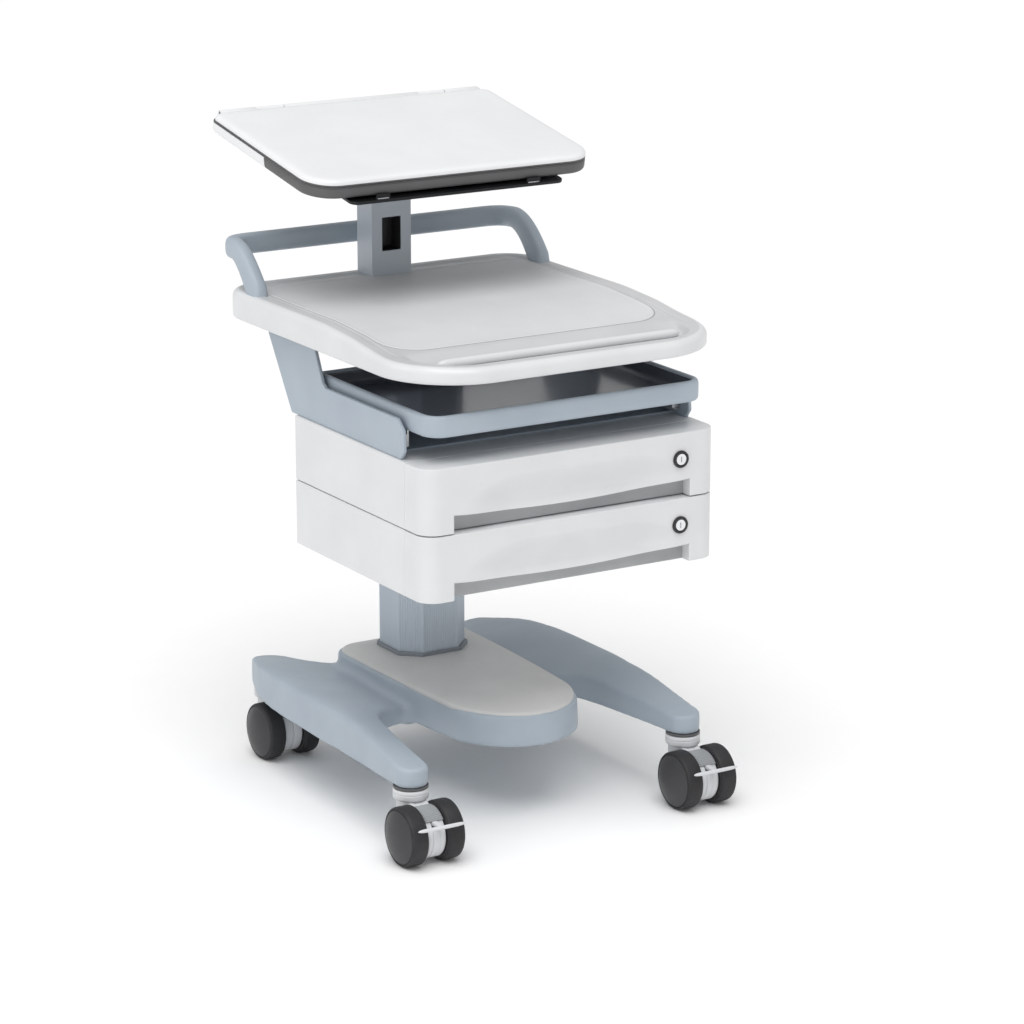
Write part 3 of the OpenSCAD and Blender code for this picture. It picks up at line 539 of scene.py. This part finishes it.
def plate_outline(notched):
    """Outline of the web between the wheels in the swivel's own Y and Z."""
    web_r = 31
    pts = []
    for k in range(0, 61):
        a = math.radians(78 + 284 * k / 60)
        y, z = -LEAD + web_r * math.cos(a), WHEEL_R + web_r * math.sin(a)
        if notched and z > 50 and y < -47:
            y = -47 - 0.02 * (z - 50)
        pts.append((y, z))
    pts += [(6, 40), (14, 50), (16, 60), (16.5, 73), (-16.5, 73), (-22, 70.5)]
    return pts


def rounded_plate(b, pts, x0, x1, soft, place, mat=0):
    """Slab of an outline between x0 and x1 with rounded rims."""
    mid = Vector((sum(p[0] for p in pts) / len(pts), sum(p[1] for p in pts) / len(pts)))
    rings = []
    bit = soft * 0.3
    for t, x in ((soft, x0), (bit, x0 + bit), (0, x0 + soft), (0, x1 - soft), (bit, x1 - bit), (soft, x1)):
        ring = []
        for y, z in pts:
            d = Vector((y, z)) - mid
            q = mid + d * (1 - t / max(d.length, 1))
            ring.append(place @ Vector((x, q.x, q.y)))
        rings.append(ring)
    b.loft(rings, [mat] * 5)


def housing_piece(corner, stem):
    """Collar on a web, with a ribbed fender over the front of the gap between the wheels."""
    b = Build()
    at = Matrix.Translation((stem[0], stem[1], 0))
    b.lathe([(18, 72.6), (20.6, 72.9), (21.9, 74), (22.3, 75.6), (22.3, 80.2), (21.7, 80.7), (21.7, 81.4),
             (22.3, 81.9), (22.3, 85.2), (21.7, 86.2), (20, 86.5)], at, n=72)
    front = corner.startswith("front")
    web_half, slot_half = 12.4, 4.7 if front else 0
    rounded_plate(b, plate_outline(False), -web_half, -slot_half, 1.6, at)
    rounded_plate(b, plate_outline(False), slot_half, web_half, 1.6, at)
    if front:
        rounded_plate(b, plate_outline(True), -slot_half - 0.1, slot_half + 0.1, 0.05, at)
    # fender: one broad ribbed band over the upper front
    rings, steps, side = [], 56, 12.6
    for k in range(0, steps + 1):
        a = math.radians(43 + 66 * k / steps)
        rib = 0.7 * (k % 4 < 2)
        half = [(29.5, side), (32.0 + rib, side), (32.9 + rib, side - 1)]
        section = [(r, -x) for r, x in half] + half[::-1]
        c, q = math.cos(a), math.sin(a)
        rings.append([at @ Vector((x, -LEAD - r * c, WHEEL_R + r * q)) for r, x in section])
    b.loft(rings, [1] * steps)
    hub = at @ Matrix.Translation((0, -LEAD, WHEEL_R)) @ Matrix.Rotation(math.radians(90), 4, "Y")
    b.lathe([(9, -13.4), (10, -13.2), (10, 13.2), (9, 13.4)], hub, n=48, mats=[1, 1, 1])
    return b.piece(f"{corner}_housing_moulding", BODY[f"{corner}_housing"], [NYLON, FENDER], "caster_nylon",
                   [f"{corner}_housing"], sharp=36)


def brake_piece(corner, stem):
    """Slim bar before both wheels on an arm that enters the housing."""
    b = Build()
    at = Matrix.Translation((stem[0], stem[1], 0))
    rings = []
    half = 33.0
    for k in range(-16, 17):
        x = half * k / 16
        end = math.sqrt(max(1 - (abs(k) / 16.0) ** 6, 0.02))
        y = -76 - 0.7 * (1 - (x / half) ** 2)
        rings.append([at @ Vector((x, y + p, BRAKE_Z + q)) for p, q in squircle(20, 2.7 * end, 2.4 * end, 1)])
    b.loft(rings)
    rings = []
    for y, w, h in ((-76.5, 3.6, 1.5), (-72, 3.9, 1.9), (-64, 4.0, 2.2), (-56, 4.1, 2.8), (-50.5, 4.1, 3.6),
                    (-49.3, 3.8, 3.2)):
        rings.append([at @ Vector((p, y, BRAKE_Z + q)) for p, q in squircle(28, w, h, 0.5)])
    b.loft(rings)
    return b.piece(f"{corner}_brake_bar", BODY[f"{corner}_brake"], [NYLON], "caster_nylon",
                   [f"{corner}_brake"], sharp=50)


STEMS = {"front_left": (-200, -214), "front_right": (200, -214),
         "rear_left": (-160, 232), "rear_right": (160, 232)}
for corner, stem in STEMS.items():
    outer = 1 if stem[0] > 0 else -1
    wheel_piece(f"{corner}_wheel_outer_tread", stem, outer, f"{corner}_wheel_outer")
    wheel_piece(f"{corner}_wheel_inner_tread", stem, -outer, f"{corner}_wheel_inner")
    housing_piece(corner, stem)
    if corner.startswith("front"):
        brake_piece(corner, stem)


# ---------- cabinet ----------

def drawer_front_piece(name, z0, stands, body):
    """Drawer front: a soft scoop in the face and a finger recess under it."""
    half, front, rear, r = 210.0, -270.0, -222.0, 24.0
    height = 82.4
    z0 += 0.8
    edge_r = 1.2
    grip_half, grip_deep = 169.0, 15.6
    rows = 36
    # stations along the outline, as (x, y, outward x, outward y, inside the recess)
    stations = []
    for y in span(rear, front + r, 4)[:-1]:
        stations.append((half, y, 1, 0, False))
    for a in span(0, 90, 6):
        c, s = math.cos(math.radians(a)), math.sin(math.radians(a))
        stations.append((half - r + r * c, front + r - r * s, c, -s, False))
    for x in span(half - r, grip_half + 3, 3)[1:] + [grip_half + 1.6, grip_half + 0.6, grip_half]:
        stations.append((x, front, 0, -1, False))
    for x in [grip_half - 0.1, grip_half - 0.8, grip_half - 2] + span(grip_half - 5, 0, 3):
        stations.append((x, front, 0, -1, True))
    stations = stations + [(-x, y, -nx, ny, w) for x, y, nx, ny, w in reversed(stations[:-1])]

    def levels(g):
        """Heights up the face with the depth of the recess at each, where there is one."""
        below = [(v, grip_deep) for v in [0, 0.3, 0.9] + [2.5 + (g - 3.7) * k / 6 for k in range(7)]]
        below.append((g - 0.4, grip_deep - 0.5))
        ceiling = [(g, grip_deep - 1.4), (g, 2.2), (g + 0.25, 1.1), (g + 0.9, 0.35), (g + 2.2, 0.0)]
        above = [(g + 2.2 + (height - edge_r - g - 2.2) * k / rows, 0.0) for k in range(1, rows + 1)]
        return below + ceiling + above + [(height - 0.5, 0.0), (height - 0.1, 0.0), (height, 0.0)]

    grid = []
    for x, y, nx, ny, within in stations:
        flat_face = ny < -0.99
        g = 15 + 7 * min(abs(x) / grip_half, 1) ** 2
        spread = step01(1.25 * (1 - ((x - 4) / 158) ** 2))
        col = []
        for v, deep in levels(g):
            inset = deep if within else 0.0
            if flat_face and inset < 3:
                inset += 12 * spread * (1 - step01((v - 30) / (16 + 18 * spread))) * step01((v - 2) / 26)
            gap = min(v, height - v)
            if gap < edge_r:
                inset += edge_r - math.sqrt(max(edge_r ** 2 - (edge_r - gap) ** 2, 0))
            # the cheeks of the recess have a soft edge
            if flat_face and not within and abs(x) < grip_half + 1.6 and v < g + 1:
                inset += 0.9 * (1 - (abs(x) - grip_half) / 1.6) ** 2
            col.append((x - nx * inset, y - ny * inset, z0 + v))
        grid.append(col)
    b = Build()
    n_rows = len(grid[0])
    faces = []
    for i in range(len(grid) - 1):
        for k in range(n_rows - 1):
            faces.append((i * n_rows + k, (i + 1) * n_rows + k, (i + 1) * n_rows + k + 1, i * n_rows + k + 1))
            recess = stations[i][4] and stations[i + 1][4] and k < 10
            b.m.append(1 if recess else 0)
    b.v = [p for col in grid for p in col]
    b.f = faces
    # closed top, bottom and back, with a pocket for the drawer box
    for k, order in ((-1, 1), (0, -1)):
        rim = [col[k] for col in grid][::order]
        b.add(rim, [tuple(range(len(rim)))])
    left, right = -194.6, 194.6
    low, high, deep = z0 + 8, z0 + height - 4, -252.1
    corners = [(left, low), (right, low), (right, high), (left, high)]
    pocket = [(x, rear, z) for x, z in corners] + [(x, deep, z) for x, z in corners]
    b.add(pocket, [(k, (k + 1) % 4, 4 + (k + 1) % 4, 4 + k) for k in range(4)] + [(4, 5, 6, 7)])
    first, last = grid[0], grid[-1]
    b.add(first + [(right, rear, high), (right, rear, low)], [tuple(range(len(first) + 2))])
    b.add(last + [(left, rear, high), (left, rear, low)], [tuple(range(len(last) + 2))])
    b.add([first[-1], last[-1], (left, rear, high), (right, rear, high)], [(0, 1, 2, 3)])
    b.add([first[0], last[0], (left, rear, low), (right, rear, low)], [(0, 1, 2, 3)])
    return b.piece(name, body, [WHITE, GREY], "white_plastic", [stands], sharp=30)


for level, z0 in (("upper", 416.0), ("lower", 332.0)):
    drawer_front_piece(f"{level}_drawer_front_shell", z0, f"{level}_drawer_front", f"{level}_drawer")
    ring = Build()
    to_front = Matrix.Translation((154, -270, z0 + 50)) @ Matrix.Rotation(math.radians(90), 4, "X")
    ring.lathe([(9, -14), (9, -0.2), (10.6, -0.2), (11, 0.3), (11, 1.6), (10.7, 2.5), (9.9, 2.95),
                (9.0, 2.95), (8.2, 2.6), (7.7, 1.9), (7.1, 1.4), (7.1, -14)], to_front, n=64,
               low=False, high=False)
    ring.piece(f"{level}_lock_ring", f"{level}_drawer", [BLACK], "black_plastic", [f"{level}_lock_body"],
               sharp=40)


# ---------- keyboard bay ----------

tray = Build()
rings, mats = [], []
for ins, z, m in ((16, 533, 0), (5, 533, 0), (2.2, 533.9, 0), (0.7, 535.6, 0), (0, 538.5, 0), (0, 554, 0),
                  (0.4, 556.6, 0), (1.4, 558.6, 0), (3, 559.7, 0), (4.8, 560, 0), (6.6, 559.7, 0),
                  (8, 558.7, 0), (8.9, 557, 0), (9.3, 554.6, 1), (9.7, 545, 1), (10.5, 541.2, 1),
                  (12.4, 539.2, 1), (15.5, 538.2, 1), (20, 538, 1)):
    rings.append(at_height(outline(197, -262, 27, 26, 12, ins, arc=12, side=6), z))
    mats.append(m)
tray.loft(rings, mats[1:])
# the tray's well gets the lightened liner, partly painted light against its deep shade
tray.piece("keyboard_tray_moulding", "tray", [PAINT, WELL_PAINTED_LIGHT], "painted_steel", ["keyboard_tray"], sharp=50)


# ---------- worktop ----------

def top_z(y):
    return interp_smooth(y, [-300, -276, -262, -206, -166, -110, -36, 240],
                         [619, 620.5, 621.2, 621.6, 624.6, 631.6, 636, 636], 26)


def worktop_z(x, y, d):
    z = top_z(y)
    pan = -round_box(x, y, 196, -270, -120, 62)
    z -= 8.5 * step01(pan / 10) * step01((-182 - y) / 32)
    z -= 1.1 * step01((d - 19) / 3) * step01((y + 215) / 30)
    z += 0.9 * math.exp(-((d - 26.6) / 1.5) ** 2) * step01((y + 190) / 20)
    roll = max(0.0, 9 - d)
    return z - (9 - math.sqrt(max(81 - roll * roll, 0)))


def worktop_outline(d):
    return outline(226, -290, 231, 104, 52, d, arc=24, side=84)


def mat_outline(d):
    return outline(197, -179, 189, 52, 20, d, arc=18, side=40)


worktop = Build()
rings = []
rim_z = 604
for ins, z in ((40, rim_z), (9, rim_z), (7.5, 600.6), (5, 600), (2.2, 600.5), (0.7, 601.8), (0, rim_z)):
    rings.append(at_height(worktop_outline(ins), z))
for part in (0.35, 0.7):
    rings.append([(x, y, rim_z + (worktop_z(x, y, 0) - rim_z) * part) for x, y in worktop_outline(0)])
insets = [0, 0.15, 0.5, 1, 1.7, 2.6, 3.8, 5.2, 7, 9] + span(11, 34, 1.15) + span(36, 222, 2.9)
for d in insets:
    rings.append([(x, y, worktop_z(x, y, d)) for x, y in worktop_outline(d)])
under = len(rings) - len(insets)
worktop.loft(rings, [0] * under + [1 if d > 9.5 else 0 for d in insets][1:])
# bead across the front, with soft ends
bead, bead_half = [], 172
bead_ends = [bead_half, 171.4, 170, 167.5, 164, 158]
for x in [-x for x in bead_ends] + span(-150, 150, 12) + bead_ends[::-1]:
    t = min(max((bead_half - abs(x)) / 14, 0.0), 1)
    r = 5.6 * math.sqrt(max(1 - (1 - t) ** 2, 0.0004))
    bead.append([(x, -236 + y, 617.4 + z) for y, z in squircle(28, 1.15 * r, r, 1)])
worktop.loft(bead, [0] * (len(bead) - 1))
worktop.piece("worktop_moulding", "base", [WHITE, TOP], "white_plastic", ["worktop"], sharp=60)

mat = Build()
rings, mats = [], []
for d, rise, m in ((0, -3, 1), (-1, -1.6, 1), (-1, -0.3, 1), (-0.8, -0.08, 1), (0.5, -0.08, 1), (0.6, 0.1, 0),
                   (1.2, 0.4, 0), (2, 0.6, 0), (3.2, 0.62, 0), (4.6, 0.25, 0), (6, -0.15, 0),
                   (7.5, -0.35, 0)) + tuple((d, -0.35, 0) for d in span(11, 190, 7)):
    rings.append([(x, y, top_z(y) - 0.7 + rise) for x, y in mat_outline(d)])
    mats.append(m)
mat.loft(rings, mats[1:])
# the mat sheet's lightened grey is painted light against the console's shadow
mat.piece("worktop_mat_sheet", "base", [MAT_PAINTED_LIGHT, GREY], "pale_plastic", ["worktop_mat"], sharp=60)


# ---------- grab handle and post ----------

def bend(a, b, c, t):
    return a * (1 - t) ** 2 + b * (2 * t * (1 - t)) + c * t ** 2


bar_y, bar_z, foot_x = 243.0, 683.5, 209.5
foot, elbow = Vector((foot_x, 152, 634)), Vector((foot_x - 3, 220, bar_z + 0.5))
path = [bend(foot, Vector((foot_x, 190, bar_z + 4)), elbow, i / 20) for i in range(20)]
corner_at, level_at = Vector((foot_x - 5, bar_y, bar_z)), Vector((foot_x - 36, bar_y, bar_z))
path += [bend(elbow, corner_at, level_at, i / 16) for i in range(17)]
path += [Vector((-p.x, p.y, p.z)) for p in reversed(path)]
handle = Build()
rings = []
for i, p in enumerate(path):
    way = (path[min(i + 1, len(path) - 1)] - path[max(i - 1, 0)]).normalized()
    side = Vector((way.y, -way.x, 0)).normalized()
    up = side.cross(way)
    broad = 13.4 + 4.2 * (1 - min(min(i, len(path) - 1 - i) / 16, 1)) ** 2
    rings.append([p + side * u + up * w for u, w in squircle(40, 10.4, broad, 0.66)])
for ring in (rings[0], rings[-1]):
    for p in ring:
        p.z = 633.5
handle.loft(rings)
handle.piece("grab_handle_bar", "base", [PAINT], "painted_steel", ["grab_handle"], sharp=60)

liner = Build()
rings = []
for ins, y in ((0, 180.2), (0.6, 181.2), (1, 202)):
    section = outline(13.8 - ins, 667.2 + ins, 710.8 - ins, 3, 3, 0, arc=5, side=2)
    rings.append([(x, y, z) for x, z in section])
liner.loft(rings, low=False)
liner.piece("post_window_liner", "base", [BLACK], "dark_plastic", sharp=40)


# ---------- console ----------

CONSOLE = Matrix.Translation((0, 9, 777)) @ Matrix.Rotation(math.radians(10), 4, "X")


def console_ring(ins, w, back=290.0, r_back=20.0):
    return at_height(outline(205, 0, back, 40, r_back, ins, arc=16, side=10), w)


deck = Build()
rings = [console_ring(*p) for p in ((1.2, 13.2), (0.4, 13.5), (0.2, 13.9), (0.2, 14.6), (0.5, 14.95),
                                    (1.2, 15.0), (18, 15.0), (19, 14.8), (19.8, 14.2), (20.4, 11.8),
                                    (21.2, 11.1), (22.5, 11.0))]
deck.loft(rings, low=False)
skirt = Build()
skirt.loft([console_ring(*p) for p in ((6, 0.05), (3, 0.2), (1.2, 0.9), (0.3, 2.2), (0, 4), (0, 12.4),
                                       (0.5, 13.2), (1.5, 13.4), (2.3, 13.0), (2.4, 12.4), (2.4, 3.4),
                                       (3, 2.6), (5, 2.4))])
seam = Vector((0, 0.94, -0.342))


def keep_side(build, sign, name, mats, slot, stands, offset):
    o = build.piece(name, "console", mats, slot, stands, sharp=40, place=CONSOLE)
    bm = bmesh.new()
    bm.from_mesh(o.data)
    point = CONSOLE @ Vector((0, 132 + offset, 7))
    normal = (CONSOLE.to_3x3() @ seam).normalized() * sign
    bmesh.ops.bisect_plane(bm, geom=[*bm.verts, *bm.edges, *bm.faces], plane_co=point * MM, plane_no=-normal,
                           clear_outer=True)
    bmesh.ops.holes_fill(bm, edges=[e for e in bm.edges if e.is_boundary], sides=0)
    bm.to_mesh(o.data)
    bm.free()
    o.data.set_sharp_from_angle(angle=math.radians(40))
    return o


deck.piece("control_deck_panel", "console", [DARK], "dark_plastic", ["control_deck"], sharp=40, place=CONSOLE)
keep_side(skirt, -1, "console_front_skirt", [DARK], "dark_plastic", [], -0.3)
keep_side(skirt, 1, "console_case_rear", [LID], "white_plastic", ["console_case"], 0.3)

lid = Build()
rings, mats = [], []
for ins, w, m in ((14, 22.2, 0), (13.6, 16, 0), (12.8, 15.5, 1), (1.0, 15.4, 1), (0.2, 15.7, 1), (0, 16.2, 1),
                  (0, 18.0, 1), (0, 18.05, 0), (0.1, 19.6, 0), (0.6, 21.2, 0), (1.6, 22.5, 0), (3.2, 23.5, 0),
                  (5.4, 24.2, 0), (8.2, 24.55, 0), (12, 24.72, 0), (18, 24.82, 0), (30, 24.9, 0),
                  (60, 24.95, 0), (100, 25.0, 0), (138, 25.0, 0)):
    rings.append(console_ring(ins, w, back=280.6, r_back=14))
    mats.append(m)
lid.loft(rings, mats[1:])
hinge_y = 285.2
for x0, x1 in ((-192, -140.5), (-99.5, 99.5), (140.5, 192)):
    barrel = Matrix.Translation((x0, hinge_y, 20.2)) @ Matrix.Rotation(math.radians(90), 4, "Y")
    end = [(4.2, 0), (4.7, 0.5), (4.78, 1.2)]
    lid.lathe(end + [(r, x1 - x0 - h) for r, h in end[::-1]], barrel, n=40)
    lid.box((x0, 276, 15.5), (x1, hinge_y, 24.95), soft=0.3)
lid.piece("lid_moulding", "lid", [LID, DARK], "white_plastic", ["lid_shell"], sharp=40, place=CONSOLE)


pads = Build()
for s in (-1, 1):
    pads.box((s * 109 - 8, -5.5, -6.4), (s * 109 + 8, -4.7, -1.6), soft=0.35)
    pads.box((s * 109 - 8, -5.4, -7.6), (s * 109 + 8, 4, -6.9), soft=0.3)
pads.piece("clip_pads", "console", [STEEL], "steel", sharp=40, place=CONSOLE)


# ---------- camera, floor and light ----------

camera_data = bpy.data.cameras.new("camera")
camera_data.sensor_width = 36.0
camera_data.lens = 132.5
camera_data.clip_end = 200
camera = bpy.data.objects.new("camera", camera_data)
bpy.context.scene.collection.objects.link(camera)
camera.location = (-2.3508, -4.0152, 1.6338)
yaw, pitch = math.radians(31.13), math.radians(15.35)
aim = Vector((math.sin(yaw) * math.cos(pitch), math.cos(yaw) * math.cos(pitch), -math.sin(pitch)))
camera.rotation_mode = "QUATERNION"
camera.rotation_quaternion = aim.to_track_quat("-Z", "Y")
bpy.context.scene.camera = camera

floor_mesh = bpy.data.meshes.new("floor")
floor_mesh.from_pydata([(-40, -40, 0), (40, -40, 0), (40, 40, 0), (-40, 40, 0)], [], [(0, 1, 2, 3)])
floor = bpy.data.objects.new("floor", floor_mesh)
bpy.context.scene.collection.objects.link(floor)
floor_mesh.materials.append(finish("floor_paint", (253, 253, 253), (254, 254, 254), 0.8, grain=60,
                                   depth=0.01))

world = bpy.data.worlds.new("studio")
world.use_nodes = True
world.node_tree.nodes["Background"].inputs["Color"].default_value = (1.0, 1.0, 1.0, 1.0)
world.node_tree.nodes["Background"].inputs["Strength"].default_value = 0.52
bpy.context.scene.world = world
bpy.context.scene.view_settings.view_transform = "Standard"


def lamp(name, kind, place, target, energy, size):
    data = bpy.data.lights.new(name, kind)
    data.energy = energy
    if kind == "SUN":
        data.angle = math.radians(size)
    else:
        data.shape = "RECTANGLE"
        data.size, data.size_y = size
    o = bpy.data.objects.new(name, data)
    bpy.context.scene.collection.objects.link(o)
    o.location = place
    o.rotation_mode = "QUATERNION"
    o.rotation_quaternion = (Vector(target) - Vector(place)).to_track_quat("-Z", "Y")


lamp("key", "SUN", (-0.7, -1.05, 2.9), (0, 0, 0), 1.85, 50)
lamp("fill", "AREA", (-3.0, -1.6, 0.9), (0, 0, 0.45), 6, (1.6, 1.2))
lamp("rim", "AREA", (-2.4, 0.6, 2.2), (0, 0, 0.4), 6, (1.8, 1.2))
